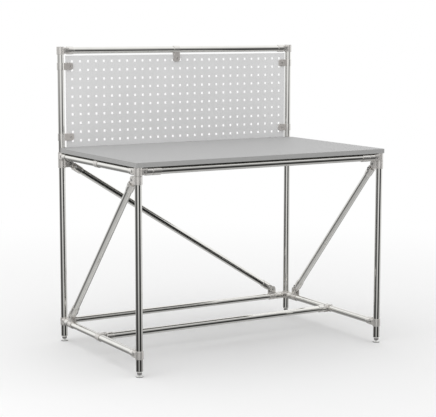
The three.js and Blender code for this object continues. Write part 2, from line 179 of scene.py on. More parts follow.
# Tolerances of the mesh work
OVERRUN = 2 * MM  # how far a cut runs past what it cuts
NEAR = 0.1 * MM  # how close to a height or radius counts as on it
SEAM_WELD = 0.001 * MM  # corners this close become one, where a turn closes
CUT_WELD = 0.02 * MM  # after a cut
ARC_WELD = 0.05 * MM  # where two roundings meet in a half circle


# Meshes


def along(axis):
    """The turn that lays Z along an axis"""
    return Z.rotation_difference(axis).to_matrix().to_4x4()


def mirror(x=1, y=1, z=1):
    return Matrix.Diagonal((x, y, z, 1))


def moved(bm, matrix):
    bmesh.ops.transform(bm, matrix=matrix, verts=bm.verts)
    return bm


def turned(profile, steps=ROUND_STEPS):
    """A closed solid turned about Z from points of radius and height"""
    bm = bmesh.new()
    points = [bm.verts.new((radius, 0, height)) for radius, height in profile]
    is_ring = min(radius for radius, height in profile) > 0
    ends = points[1:] + points[:1] if is_ring else points[1:]
    for first, second in zip(points, ends):
        bm.edges.new((first, second))
    bmesh.ops.spin(
        bm, geom=bm.verts[:] + bm.edges[:], axis=Z, cent=(0, 0, 0),
        angle=2 * math.pi, steps=steps, use_merge=True,
    )
    bmesh.ops.remove_doubles(bm, verts=bm.verts, dist=SEAM_WELD)
    bmesh.ops.recalc_face_normals(bm, faces=bm.faces)
    return bm


def ease(bm, width, segments=2, edges=None):
    """Rounds the given edges, or every sharp one"""
    sharp = [e for e in bm.edges if e.is_manifold and e.calc_face_angle() > math.radians(40)]
    bmesh.ops.bevel(
        bm, geom=sharp if edges is None else edges, offset=width, affect="EDGES",
        segments=segments, profile=0.5, material=-1, clamp_overlap=True,
    )
    return bm


def bar(radius, start, end, axis=Z, edge=0, steps=ROUND_STEPS):
    """A round bar between two distances along an axis"""
    bm = turned([(0, start), (radius, start), (radius, end), (0, end)], steps)
    if edge:
        ease(bm, edge)
    return moved(bm, along(axis))


def hexagon(across, start, end, axis=Z, edge=0):
    """A six-sided bar, given across its flats"""
    bm = bar(across / math.sqrt(3), start, end, axis, steps=6)
    if edge:
        ease(bm, edge)
    return bm


def block(low, high, edge=0):
    """A box between two corners"""
    bm = bmesh.new()
    low, high = Vector(low), Vector(high)
    size = Matrix.Diagonal((*(high - low), 1))
    bmesh.ops.create_cube(bm, size=1, matrix=Matrix.Translation((low + high) / 2) @ size)
    if edge:
        ease(bm, edge)
    return bm


def tab(low, high, edge, corner=None):
    """A box with its two edges along Y at the highest X rounded. Without a size for these corners
    they meet in a half circle."""
    bm = block(low, high)
    end = [e for e in bm.edges if all(v.co.x > high[0] - MM for v in e.verts)]
    ends = [e for e in end if abs(e.verts[0].co.y - e.verts[1].co.y) > MM]
    ease(bm, corner or (high[2] - low[2]) / 2 * 0.999, segments=12, edges=ends)
    bmesh.ops.remove_doubles(bm, verts=bm.verts, dist=ARC_WELD)
    if edge:
        ease(bm, edge)
    return bm


def merged(parts):
    """One mesh of several shells"""
    whole = bmesh.new()
    for bm in parts:
        mesh = bpy.data.meshes.new("part")
        bm.to_mesh(mesh)
        bm.free()
        whole.from_mesh(mesh)
        bpy.data.meshes.remove(mesh)
    return whole


def operand(bm, collection):
    """An object for a boolean, which uses the mesh up"""
    mesh = bpy.data.meshes.new("operand")
    bm.to_mesh(mesh)
    bm.free()
    made = bpy.data.objects.new("operand", mesh)
    collection.objects.link(made)
    return made


def carve(solids, cuts):
    """Joins closed solids and takes the cuts away"""
    joined, taken = bpy.data.collections.new("joined"), bpy.data.collections.new("taken")
    scene.collection.children.link(joined)
    scene.collection.children.link(taken)
    base = operand(solids[0], scene.collection)
    for bm in solids[1:]:
        operand(bm, joined)
    for bm in cuts:
        operand(bm, taken)
    for operation, group in (("UNION", joined), ("DIFFERENCE", taken)):
        boolean = base.modifiers.new(operation, "BOOLEAN")
        boolean.operation = operation
        boolean.operand_type = "COLLECTION"
        boolean.collection = group
        boolean.solver = "EXACT"
    graph = bpy.context.evaluated_depsgraph_get()
    mesh = bpy.data.meshes.new_from_object(base.evaluated_get(graph))
    for made in [base, *joined.objects, *taken.objects]:
        bpy.data.objects.remove(made)
    bpy.data.collections.remove(joined)
    bpy.data.collections.remove(taken)
    bm = bmesh.new()
    bm.from_mesh(mesh)
    bpy.data.meshes.remove(mesh)
    bmesh.ops.remove_doubles(bm, verts=bm.verts, dist=CUT_WELD)
    bmesh.ops.dissolve_degenerate(bm, edges=bm.edges, dist=CUT_WELD)
    return bm


def copy_placed(bm, matrix):
    """A copy of a mesh in its place, turned outside out again if the matrix mirrors it"""
    placed = moved(bm.copy(), matrix)
    if matrix.determinant() < 0:
        bmesh.ops.reverse_faces(placed, faces=placed.faces)
    return placed


def seated(bm, seat, outward):
    """A copy of a screw part, modelled along Z, that stands on its seat and points outward"""
    return copy_placed(bm, Matrix.Translation(seat) @ along(outward))


# Pieces


def add_piece(name, bm, materials, body="frame", replaces=(), smooth_under=35, flat=True):
    """Makes an object of a mesh, with what it rides on and which solids it stands for.
    A flat one keeps its large faces flat beside their rounded edges."""
    mesh = bpy.data.meshes.new(name)
    bm.to_mesh(mesh)
    bm.free()
    for material in materials:
        mesh.materials.append(material)
    mesh.shade_smooth()
    mesh.set_sharp_from_angle(angle=math.radians(smooth_under))
    piece = bpy.data.objects.new(name, mesh)
    scene.collection.objects.link(piece)
    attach(piece, body)
    if replaces:
        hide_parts(*replaces)
    if flat:
        weigh = piece.modifiers.new("flat faces", "WEIGHTED_NORMAL")
        weigh.keep_sharp = True
    return piece


def add_casting(node, bm, materials):
    add_piece(f"{node}_casting", bm, materials, replaces=[node])


def add_fasteners(name, parts, material):
    """One piece of many small steel parts"""
    add_piece(name, merged(parts), [material], smooth_under=30)


# Materials


def colour(code):
    """An sRGB hex colour as linear values"""
    parts = [int(code[i:i + 2], 16) / 255 for i in (1, 3, 5)]
    return [p / 12.92 if p <= 0.04045 else ((p + 0.055) / 1.055) ** 2.4 for p in parts] + [1]


def set_stops(ramp, stops):
    """Sets a colour ramp from places and greys or hex colours"""
    while len(ramp.elements) < len(stops):
        ramp.elements.new(0.5)
    for element, (place, value) in zip(ramp.elements, stops):
        element.position = place
        element.color = colour(value) if isinstance(value, str) else (value, value, value, 1)


def add_node(tree, kind, sockets=None, stops=(), **settings):
    """Adds a node with its settings, its sockets set or linked, and the stops of its colour ramp"""
    made = tree.nodes.new(kind)
    for name, value in settings.items():
        setattr(made, name, value)
    for name, value in (sockets or {}).items():
        if isinstance(value, bpy.types.NodeSocket):
            tree.links.new(value, made.inputs[name])
        else:
            made.inputs[name].default_value = value
    if stops:
        set_stops(made.color_ramp, stops)
    return made


def new_material(name):
    material = bpy.data.materials.new(name)
    material.use_nodes = True
    material.node_tree.nodes.clear()
    return material, material.node_tree


def surface_finish(name, tones, patches, skin, roughness, relief=None, spread=0.2, place=None, **shader):
    """A surface in two close tones that lie over it in patches, while its gloss and relief follow
    a finer skin. Patches and skin are given by the size and detail of their pattern, roughness by
    its least and most, relief by its strength and depth. The place of a pattern is the object's own
    unless a function gives the places of both."""
    material, tree = new_material(name)
    if place:
        patch_place, skin_place = place(tree)
    else:
        patch_place = skin_place = add_node(tree, "ShaderNodeTexCoord").outputs["Object"]
    patterns = []
    for where, (size, detail) in ((patch_place, patches), (skin_place, skin)):
        sockets = {"Vector": where, "Scale": 1 / size, "Detail": detail}
        patterns.append(add_node(tree, "ShaderNodeTexNoise", sockets).outputs["Fac"])
    stops = [(0.5 - spread, tones[0]), (0.5 + spread, tones[1])]
    tone = add_node(tree, "ShaderNodeValToRGB", {"Fac": patterns[0]}, stops)
    gloss = add_node(
        tree, "ShaderNodeMapRange",
        {"Value": patterns[1], "To Min": roughness[0], "To Max": roughness[1]},
    )
    sockets = {"Base Color": tone.outputs["Color"], "Roughness": gloss.outputs["Result"], **shader}
    if relief:
        bump = add_node(
            tree, "ShaderNodeBump",
            {"Height": patterns[1], "Strength": relief[0], "Distance": relief[1]},
        )
        sockets["Normal"] = bump.outputs["Normal"]
    surface = add_node(tree, "ShaderNodeBsdfPrincipled", sockets)
    add_node(tree, "ShaderNodeOutputMaterial", {"Surface": surface.outputs["BSDF"]})
    return material


def tube_places(tree):
    """Places on a tube as it was before it was laid along its line. Drawing stretched its skin."""
    place = add_node(tree, "ShaderNodeAttribute", attribute_name="tube_place").outputs["Vector"]
    stretched = add_node(tree, "ShaderNodeMapping", {"Vector": place, "Scale": (1, 1, 0.01)})
    return place, stretched.outputs["Vector"]


def laminate(name, tones, relief_depth):
    """Grey melamine laminate pressed with a pearl texture: even colour with a fine printed speckle"""
    return surface_finish(
        name, tones, patches=(0.8 * MM, 1), skin=(1.1 * MM, 2), roughness=(0.5, 0.62),
        relief=(0.2, relief_depth), spread=0.15, IOR=1.5,
    )


def plastic(name, tones):
    """Moulded plastic or rubber: matte, with a faint flow of lighter and darker tone"""
    flow = (5 * MM, 3)
    return surface_finish(name, tones, patches=flow, skin=flow, roughness=(0.42, 0.6), IOR=1.53)


def satin_metal(name, tones, roughness, metallic=1):
    """Plated, blackened or polished metal: small cloudy patches, a little duller where paler"""
    clouds = (4 * MM, 3)
    return surface_finish(
        name, tones, patches=clouds, skin=clouds, roughness=(roughness - 0.06, roughness + 0.06),
        spread=0.15, Metallic=metallic,
    )


# Steel tube, drawn, polished and chromed: a mirror with faint marks along its length. The real
# marks are too fine to show, so they are drawn coarser.
CHROME = surface_finish(
    "chromed steel tube", ("#ECEBE7", "#F4F3EF"), patches=(70 * MM, 4), skin=(1.6 * MM, 2),
    roughness=(0.025, 0.065), relief=(0.05, 0.02 * MM), place=tube_places, Metallic=1,
)
# Die-cast aluminium, tumbled: soft stripes of light, slightly uneven in tone, over a skin that is
# drawn coarser than the real one to show
CASTING = surface_finish(
    "die cast aluminium", ("#DBD8D4", "#E4E1DD"), patches=(18 * MM, 3), skin=(0.9 * MM, 3),
    roughness=(0.2, 0.28), relief=(0.12, 0.06 * MM), Metallic=0.66,
)
# Die-cast aluminium, blasted and left satin: soft highlights over a texture that is drawn coarser
# than the real one to show
CLAMP_METAL = surface_finish(
    "satin cast aluminium", ("#D6D1CD", "#DEDAD6"), patches=(12 * MM, 2), skin=(0.7 * MM, 2),
    roughness=(0.5, 0.6), relief=(0.15, 0.06 * MM), Metallic=0.86,
)
# Powder coating, sprayed and baked on steel sheet: a low sheen over a shallow orange peel
PANEL_COAT = surface_finish(
    "light grey powder coating", ("#DFDFDF", "#E3E3E3"), patches=(160 * MM, 2), skin=(1.4 * MM, 1),
    roughness=(0.38, 0.5), relief=(0.2, 0.08 * MM), IOR=1.5,
)
# Particle board under melamine, laminate on top. Edge band and underside are darker as painted shade.
BOARD_FACE = laminate("grey laminate", ("#B1B1B1", "#BBBBBB"), 0.06 * MM)
# Edge band: the top's laminate darkened as painted shade on the upright faces
SHADED_BOARD_EDGE = laminate("grey edge band with painted shade", ("#9C9C9B", "#A1A1A0"), 0.03 * MM)
# Underside: painted near-black shade under the board
PAINTED_SHADE_UNDERSIDE = laminate("painted shade under the board", ("#656361", "#6F6D6A"), 0.03 * MM)
# Glass-filled nylon, injection moulded: pale insert of a leg plug; its nose is darker as painted shade
PLUG_LIGHT = plastic("grey nylon", ("#D3D2CF", "#DEDDDA"))
PLUG_NOSE_SHADE = plastic("plug nose painted shade", ("#6E6D6C", "#7C7B7A"))
# Near black, without a highlight: painted shade under the board, painted contact shadow under the feet
GAP_SHADE_BLACK = plastic("painted gap shade", ("#262626", "#2E2E2D"))
CONTACT_SHADOW_SOLE = plastic("painted contact shadow", ("#2A2A2A", "#333332"))
# Cast aluminium, polished: bright sleeves that mirror the studio softly
POLISHED = satin_metal("polished cast aluminium", ("#E8E6E2", "#F1EFEB"), 0.12, metallic=0.92)
# Steel, zinc plated: silver grey screws, and paler feet with a milky passivated skin
ZINC = satin_metal("zinc plated steel", ("#D6D6D3", "#E2E2DF"), 0.34)
FOOT_ZINC = satin_metal("pale zinc plated steel", ("#EBEBE9", "#F4F4F2"), 0.35, metallic=0.45)
# Steel darkened as painted shade: washers in screw wells and floors of pivot sockets, satin sheen
RECESS_SHADE_STEEL = satin_metal("steel painted with recess shade", ("#4C4B4A", "#5B5A58"), 0.4)


# Tubes

TUBES = [
    "leg_front_left", "leg_front_right", "post_rear_left", "post_rear_right", "top_rail",
    "upper_rail_front", "upper_rail_rear", "upper_rail_centre", "upper_rail_left", "upper_rail_right",
    "lower_rail_rear", "lower_rail_centre", "lower_rail_left", "lower_rail_right",
    "brace_left", "brace_right", "brace_rear",
]


def tube_ends(node):
    """Centres of the two ends of a straight tube, from the corners of its solid"""
    corners = {tuple(round(c, 6) for c in v.co) for v in frame["nodes"][node].data.vertices}
    points = np.array(sorted(corners))
    centre = points.mean(axis=0)
    direction = np.linalg.svd(points - centre, full_matrices=False)[2][0]
    reach = (points - centre) @ direction
    return Vector(centre + reach.min() * direction), Vector(centre + reach.max() * direction)


def add_tube(node):
    start, end = tube_ends(node)
    length = (end - start).length
    bore = TUBE_RADIUS - TUBE_WALL
    bm = turned([(bore, 0), (TUBE_RADIUS, 0), (TUBE_RADIUS, length), (bore, length)])
    ease(bm, CUT_EDGE)
    local = [v.co.copy() for v in bm.verts]
    moved(bm, Matrix.Translation(start) @ along((end - start).normalized()))
    piece = add_piece(f"{node}_tube", bm, [CHROME], replaces=[node])
    place = piece.data.attributes.new("tube_place", "FLOAT_VECTOR", "POINT")
    place.data.foreach_set("vector", np.array(local, np.float32).ravel())


# Cast joints

clamp_screws = []  # place and outward direction of every clamping screw, noted as joints are made


def branch_frame(direction, head):
    """The turn that lays X along a branch and faces -Y the way its screw head looks"""
    depth = -head
    return Matrix((direction, depth, direction.cross(depth))).transposed().to_4x4()


def sleeve(start, end):
    """Outside of a sleeve along X, tapered at its mouth and rounded at its closed end"""
    bm = turned([
        (0, start), (JOINT_RADIUS, start), (JOINT_RADIUS, end - TAPER_LENGTH),
        (JOINT_RADIUS - TAPER_DEPTH, end), (0, end),
    ])
    for height, edge, segments in ((start, SHOULDER_EDGE, 4), (end, MOUTH_EDGE, 2)):
        ease(bm, edge, segments, [
            e for e in bm.edges
            if all(v.co.xy.length > JOINT_RADIUS / 2 and abs(v.co.z - height) < NEAR for v in e.verts)
        ])
    return moved(bm, along(X))


def screw_cuts():
    """Hole of a clamping screw along Y, with its round pocket at -Y and nut pocket at +Y"""
    return [
        bar(POCKET_RADIUS, -JOINT_RADIUS - OVERRUN, POCKET_DEPTH - BOSS_FACE, Y, steps=POCKET_STEPS),
        hexagon(NUT_ACROSS, BOSS_FACE - POCKET_DEPTH, JOINT_RADIUS + OVERRUN, Y),
        bar(SHANK_HOLE_RADIUS, -BOSS_FACE, BOSS_FACE, Y, steps=SMALL_STEPS),
    ]


def branch(direction, head):
    """Solids and cuts of one branch of a cast joint"""
    turn = branch_frame(direction, head)
    half = Vector((0, BOSS_FACE, NECK_HEIGHT / 2))
    neck = block(-half + X * BORE_RADIUS / 2, half + X * BOSS_END)
    ease(neck, BOSS_EDGE, 5, [e for e in neck.edges if abs(e.verts[0].co.x - e.verts[1].co.x) > MM])
    ease(neck, CAST_EDGE)
    slit_end = SLEEVE_START + (SLEEVE_END - SLEEVE_START) * SLIT_SHARE
    slit = block((0, -SLIT / 2, -JOINT_RADIUS * 2), (slit_end, SLIT / 2, JOINT_RADIUS * 2))
    socket = bar(BORE_RADIUS, SLEEVE_START + SOCKET_FLOOR, SLEEVE_END + OVERRUN, X)
    cuts = [moved(cut, Matrix.Translation(X * SCREW_OUT)) for cut in screw_cuts()]
    solids = [neck, sleeve(SLEEVE_START, SLEEVE_END)]
    return [moved(s, turn) for s in solids], [moved(c, turn) for c in [socket, slit, *cuts]]


def cast_joint(through, branches, capped=False):
    """A band round the tube that runs through, and a neck and a polished sleeve for each branch"""
    half = BAND_LENGTH / 2
    solids = [bar(JOINT_RADIUS, -half, half, through, edge=CAST_EDGE)]
    top = half - CAP_THICKNESS if capped else half + OVERRUN
    cuts = [bar(BORE_RADIUS, -half - OVERRUN, top, through)]
    for direction, head in branches:
        more_solids, more_cuts = branch(direction, head)
        solids += more_solids
        cuts += more_cuts
    joint = carve(solids, cuts)
    for face in joint.faces:
        place = face.calc_center_median()
        face.material_index = any(place.dot(direction) > BOSS_END for direction, head in branches)
    return joint


def add_joint(node, shape, place, flip, branches):
    add_casting(node, copy_placed(shape, Matrix.Translation(place) @ flip), [CASTING, POLISHED])
    for direction, head in branches:
        clamp_screws.append((place + flip @ (direction * SCREW_OUT), (flip @ head).normalized()))


def add_joints():
    across, deep = (X, -Y), (Y, -X)
    corner = cast_joint(Z, [across, deep])
    foot = cast_joint(Z, [deep])
    tee = cast_joint(Y, [(X, Z)])
    top = cast_joint(Z, [across], capped=True)
    for side, sign in (("left", -1), ("right", 1)):
        x = sign * LEG_X
        flip = mirror(-sign)
        rear_flip = mirror(-sign, -1)
        front, rear = Vector((x, -LEG_Y, 0)), Vector((x, LEG_Y, 0))
        upper, lower, highest = Z * UPPER_RAIL_Z, Z * LOWER_RAIL_Z, Z * TOP_RAIL_Z
        add_joint(f"corner_joint_front_{side}", corner, front + upper, flip, [across, deep])
        add_joint(f"corner_joint_rear_{side}", corner, rear + upper, rear_flip, [across, deep])
        add_joint(f"foot_joint_front_{side}", foot, front + lower, flip, [deep])
        add_joint(f"foot_joint_rear_{side}", corner, rear + lower, rear_flip, [across, deep])
        add_joint(f"upper_tee_{side}", tee, X * x + upper, mirror(-sign, z=-1), [(X, Z)])
        add_joint(f"lower_tee_{side}", tee, X * x + lower, flip, [(X, Z)])
        add_joint(f"top_joint_{side}", top, rear + highest, flip, [across])
    for shape in (corner, foot, tee, top):
        shape.free()


# Swivel joints

BOSS_ALONG = 28 * MM  # screw boss from the pivot, along the brace
BOSS_RADIUS = 8.5 * MM
BOSS_RIM = 1 * MM  # wall round the well of a boss
BOSS_TOP = 18.5 * MM  # from the axis of the brace
BOSS_WELL = 3.5 * MM
BOSS_BACK = JOINT_RADIUS + 0.3 * MM
BOSS_HEAD_RADIUS = 3.8 * MM
BOSS_WASHER_RADIUS = BOSS_RADIUS - 1.1 * MM
BOSS_NUT_SEAT = JOINT_RADIUS - 1.6 * MM
BOSS_NUT_HEIGHT = 1.8 * MM
BOSS_NUT_BORE = 2.5 * MM
TONGUE_ROOT = 4 * MM  # part of the tongue inside the sleeve
WEB_DEPTH = 2 * MM  # wall between the cheeks, outside the band
EAR_SCREW = Vector((24 * MM, 0, 10.5 * MM))  # clamping screw of the fork's band
EAR_SCREW_RADIUS = 2.6 * MM
EAR_WELL_RADIUS = 2.9 * MM
EAR_WELL = 2 * MM
EAR_EDGE = 0.3 * MM
PIVOT_RADIUS = 4 * MM
PIVOT_HEAD_RADIUS = 5 * MM
PIVOT_HEAD_HEIGHT = 1.8 * MM
PIVOT_ROOT_HEIGHT = 0.4 * MM  # floor of the socket in a pivot's head
WASHER_RADIUS = 6.8 * MM
WASHER_THICKNESS = 1 * MM
WASHER_BORE = 3.1 * MM

# Places noted as the swivel joints are made, with whether their washers stay bright
pivots = []
ear_screws = []
boss_screws = []


def swivel_fork():
    """Band along Z and two round cheeks towards X"""
    half, gap = BAND_LENGTH / 2, TONGUE_THICKNESS / 2 + FIT_GAP
    reach = SWIVEL_OFFSET + CHEEK_RADIUS
    solids = [bar(JOINT_RADIUS, -half, half, edge=CAST_EDGE)]
    for low, high in ((-FORK_HALF, -gap), (gap, FORK_HALF)):
        solids.append(tab((0, low, -CHEEK_RADIUS), (reach, high, CHEEK_RADIUS), CAST_EDGE))
    web_end = JOINT_RADIUS + WEB_DEPTH
    solids.append(block((BORE_RADIUS / 2, -gap - MM, -CHEEK_RADIUS), (web_end, gap + MM, CHEEK_RADIUS)))
    pivot = bar(PIVOT_RADIUS + FIT_GAP, -FORK_HALF * 2, FORK_HALF * 2, Y, steps=SMALL_STEPS)
    cuts = [
        bar(BORE_RADIUS, -half - OVERRUN, half + OVERRUN),
        moved(pivot, Matrix.Translation(X * SWIVEL_OFFSET)),
    ]
    for start, end in ((-FORK_HALF * 2, EAR_WELL - FORK_HALF), (FORK_HALF - EAR_WELL, FORK_HALF * 2)):
        well = bar(EAR_WELL_RADIUS, start, end, Y, steps=SMALL_STEPS)
        cuts.append(moved(well, Matrix.Translation(EAR_SCREW)))
    cuts.append(block((0, -SLIT / 2, -JOINT_RADIUS), (web_end + OVERRUN, SLIT / 2, JOINT_RADIUS)))
    return carve(solids, cuts)


def swivel_tongue():
    """Polished sleeve of a brace along X from the pivot at the origin, with its round tongue and
    its screw boss at -Y"""
    half = TONGUE_THICKNESS / 2
    tongue = tab(
        (-BRACE_SLEEVE_START - TONGUE_ROOT, -half, -TONGUE_RADIUS), (TONGUE_RADIUS, half, TONGUE_RADIUS),
        CAST_EDGE,
    )
    moved(tongue, Matrix.Rotation(math.pi, 4, "Z"))
    boss = bar(BOSS_RADIUS, -BOSS_TOP, 0, Y, edge=CAST_EDGE, steps=BOSS_STEPS)
    back_boss = bar(BOSS_RADIUS, 0, BOSS_BACK, Y, edge=CAST_EDGE, steps=BOSS_STEPS)
    well = bar(BOSS_RADIUS - BOSS_RIM, -BOSS_TOP - OVERRUN, BOSS_WELL - BOSS_TOP, Y, steps=BOSS_STEPS)
    nut_pocket = hexagon(NUT_ACROSS, BOSS_NUT_SEAT, JOINT_RADIUS + OVERRUN, Y)
    for bm in (boss, back_boss, well, nut_pocket):
        moved(bm, Matrix.Translation(X * BOSS_ALONG))
    solids = [sleeve(BRACE_SLEEVE_START, BRACE_SLEEVE_END), tongue, boss, back_boss]
    start = BRACE_SLEEVE_START + SOCKET_FLOOR
    cuts = [
        bar(BORE_RADIUS, start, BRACE_SLEEVE_END + OVERRUN, X),
        bar(PIVOT_RADIUS + FIT_GAP, -half * 2, half * 2, Y, steps=SMALL_STEPS),
        well, nut_pocket,
        block((start, -SLIT / 2, 0), (BRACE_SLEEVE_END + OVERRUN, SLIT / 2, JOINT_RADIUS + OVERRUN)),
    ]
    joint = carve(solids, cuts)
    for face in joint.faces:
        place = face.calc_center_median()
        is_past_shoulder = place.x > BRACE_SLEEVE_START + SHOULDER_EDGE
        face.material_index = is_past_shoulder and place.yz.length < JOINT_RADIUS + NEAR
    return joint


def add_brace_ends(name, shapes, span, place, turn, mirrored, plain=False):
    """The two forks and tongues of a brace. X runs from the upright that carries its upper end.
    A plain one has bright washers in place of ones darkened as painted shade."""
    plane = Matrix.Translation(place) @ Matrix.Rotation(turn, 4, "Z")
    head = Vector((SWIVEL_OFFSET, 0, SWIVEL_BAND_Z))
    foot = Vector((span - BRACE_FOOT_INSET, 0, LOWER_RAIL_Z + SWIVEL_OFFSET))
    run = foot - head
    tilt = math.atan2(-run.z, run.x)
    flip = mirror(y=-1 if mirrored else 1)
    line = plane @ Matrix.Translation(head) @ Matrix.Rotation(tilt, 4, "Y") @ flip
    ends = {
        "upper_fork": plane @ Matrix.Translation(Z * SWIVEL_BAND_Z) @ flip,
        "lower_fork": plane @ Matrix.Translation((foot.x, 0, LOWER_RAIL_Z))
        @ Matrix.Rotation(-math.pi / 2, 4, "Y") @ flip,
        "upper_tongue": line,
        "lower_tongue": line @ Matrix.Translation(X * run.length) @ mirror(x=-1),
    }
    for end, matrix in ends.items():
        kind = end.split("_")[1]
        add_casting(f"{name}_{end}", copy_placed(shapes[kind], matrix), [CASTING, POLISHED])
        if kind == "fork":
            pivots.append((matrix @ Matrix.Translation(X * SWIVEL_OFFSET), plain))
            ear_screws.append(matrix @ Matrix.Translation(EAR_SCREW))
        else:
            seat = matrix @ (X * BOSS_ALONG - Y * (BOSS_TOP - BOSS_WELL))
            boss_screws.append((seat, (matrix.to_3x3() @ -Y).normalized(), plain))


def add_braces():
    shapes = {"fork": swivel_fork(), "tongue": swivel_tongue()}
    to_rear, to_right = math.pi / 2, 0
    add_brace_ends("brace_left", shapes, 2 * LEG_Y, (-LEG_X, -LEG_Y, 0), to_rear, mirrored=False)
    add_brace_ends("brace_right", shapes, 2 * LEG_Y, (LEG_X, -LEG_Y, 0), to_rear, mirrored=True)
    add_brace_ends(
        "brace_rear", shapes, 2 * LEG_X, (-LEG_X, LEG_Y, 0), to_right, mirrored=False, plain=True
    )
    for shape in shapes.values():
        shape.free()


# Screws


def cap_screw(height=HEAD_HEIGHT, radius=HEAD_RADIUS):
    """Head of a socket screw along Z, its root at the origin, with a hexagon socket"""
    head = ease(bar(radius, 0, height, steps=HEAD_STEPS), HEAD_EDGE)
    return carve([head], [hexagon(SOCKET_ACROSS, height - SOCKET_DEPTH, height + OVERRUN)])


def nut(height, bore):
    """A nut along Z that fits its pocket, its seat at the origin"""
    solid = ease(hexagon(NUT_ACROSS - FIT_GAP, 0, height), HEAD_EDGE)
    return carve([solid], [bar(bore, -OVERRUN, height + OVERRUN, steps=SMALL_STEPS)])


def pivot_parts():
    """Head, washer and socket floor of a pivot bolt at one end, and its pin, with the pivot along Z"""
    head = moved(cap_screw(PIVOT_HEAD_HEIGHT, PIVOT_HEAD_RADIUS), Matrix.Translation(Z * FORK_HALF))
    top = FORK_HALF + WASHER_THICKNESS
    washer = bar(WASHER_RADIUS, FORK_HALF, top, edge=THIN_EDGE, steps=BOSS_STEPS)
    washer = carve([washer], [bar(WASHER_BORE, 0, FORK_HALF * 2, steps=SMALL_STEPS)])
    root_radius = PIVOT_HEAD_RADIUS - 1 * MM
    root = bar(root_radius, FORK_HALF, FORK_HALF + PIVOT_ROOT_HEIGHT, steps=SMALL_STEPS)
    pin = bar(PIVOT_RADIUS, -FORK_HALF, FORK_HALF, steps=SMALL_STEPS)
    return head, washer, root, pin


def add_screws():
    """All clamping screws and their nuts, and the bolts of the swivel joints"""
    head, clamp_nut = cap_screw(), nut(NUT_HEIGHT, NUT_BORE)
    floor = BOSS_FACE - POCKET_DEPTH
    heads, nuts = [], []
    for place, outward in clamp_screws:
        heads.append(seated(head, place + outward * floor, outward))
        nuts.append(seated(clamp_nut, place - outward * floor, -outward))
    boss_head = ease(bar(BOSS_HEAD_RADIUS, 0, BOSS_WELL, steps=SMALL_STEPS), HEAD_EDGE)
    boss_nut = nut(BOSS_NUT_HEIGHT, BOSS_NUT_BORE)
    boss_washer = bar(BOSS_WASHER_RADIUS, 0, WASHER_THICKNESS, edge=THIN_EDGE, steps=BOSS_STEPS)
    # Boss washers and pivot socket floors are darkened as painted shade in their wells, except on a
    # plain brace
    boss_heads, shaded_recesses, bright = [], [], []
    for seat, outward, plain in boss_screws:
        boss_heads.append(seated(boss_head, seat, outward))
        washers = bright if plain else shaded_recesses
        washers.append(seated(boss_washer, seat, outward))
        far_seat = seat - outward * (BOSS_TOP - BOSS_WELL + BOSS_NUT_SEAT)
        nuts.append(seated(boss_nut, far_seat, -outward))
    pivot_head, washer, root, pin = pivot_parts()
    for matrix, plain in pivots:
        roots = bright if plain else shaded_recesses
        for outward in (-Y, Y):
            bright.append(copy_placed(pivot_head, matrix @ along(outward)))
            bright.append(copy_placed(washer, matrix @ along(outward)))
            roots.append(copy_placed(root, matrix @ along(outward)))
        bright.append(copy_placed(pin, matrix @ along(Y)))
    ear = ease(bar(EAR_SCREW_RADIUS, 0, EAR_WELL, steps=SMALL_STEPS), EAR_EDGE)
    ears = []
    for matrix in ear_screws:
        for outward in (-Y, Y):
            seat = Matrix.Translation(outward * (FORK_HALF - EAR_WELL))
            ears.append(copy_placed(ear, matrix @ seat @ along(outward)))
    add_fasteners("boss_screws", boss_heads, FOOT_ZINC)
    add_fasteners("clamp_screws", heads, ZINC)
    add_fasteners("clamp_nuts", nuts, ZINC)
    add_fasteners("recess_shade_washers", shaded_recesses, RECESS_SHADE_STEEL)
    add_fasteners("pivot_bolts", bright, ZINC)
    add_fasteners("fork_screws", ears, ZINC)
    for bm in (head, clamp_nut, boss_head, boss_nut, boss_washer, pivot_head, washer, root, pin, ear):
        bm.free()


# Panel and its clamps

RING_WALL = 1.8 * MM
JAW_EDGE = 1.2 * MM
JAW_CORNER = 9 * MM  # rounding of the jaws' free corners, seen from the front
JAW_WELL_RADIUS = 3.9 * MM
JAW_WELL = 2.6 * MM
JAW_SCREW_RADIUS = 3.7 * MM
JAW_SCREW_X = CLAMP_REACH - CLAMP_WIDTH / 2
SHEET_FRONT = -PANEL_SETBACK - FIT_GAP
SHEET_BACK = PANEL_THICKNESS - PANEL_SETBACK + FIT_GAP


def panel_clamp():
    """Polished ring along Z and two satin jaws towards X that grip the sheet"""
    half = CLAMP_WIDTH / 2
    ring = bar(BORE_RADIUS + RING_WALL, -half, half, edge=CUT_EDGE)
    front, back = SHEET_FRONT - CLAMP_JAW, SHEET_BACK + CLAMP_JAW
    jaws = tab((0, front, -half), (CLAMP_REACH, back, half), JAW_EDGE, JAW_CORNER)
    sheet_edge = TUBE_RADIUS + PANEL_SIDE_GAP - FIT_GAP
    well = bar(JAW_WELL_RADIUS, front - OVERRUN, front + JAW_WELL, Y, steps=SMALL_STEPS)
    cuts = [
        bar(BORE_RADIUS, -half - OVERRUN, half + OVERRUN),
        block((sheet_edge, SHEET_FRONT, -half * 2), (CLAMP_REACH + OVERRUN, SHEET_BACK, half * 2)),
        moved(well, Matrix.Translation(X * JAW_SCREW_X)),
    ]
    clamp = carve([ring, jaws], cuts)
    for face in clamp.faces:
        face.material_index = face.calc_center_median().xy.length < BORE_RADIUS + RING_WALL + NEAR
    return clamp


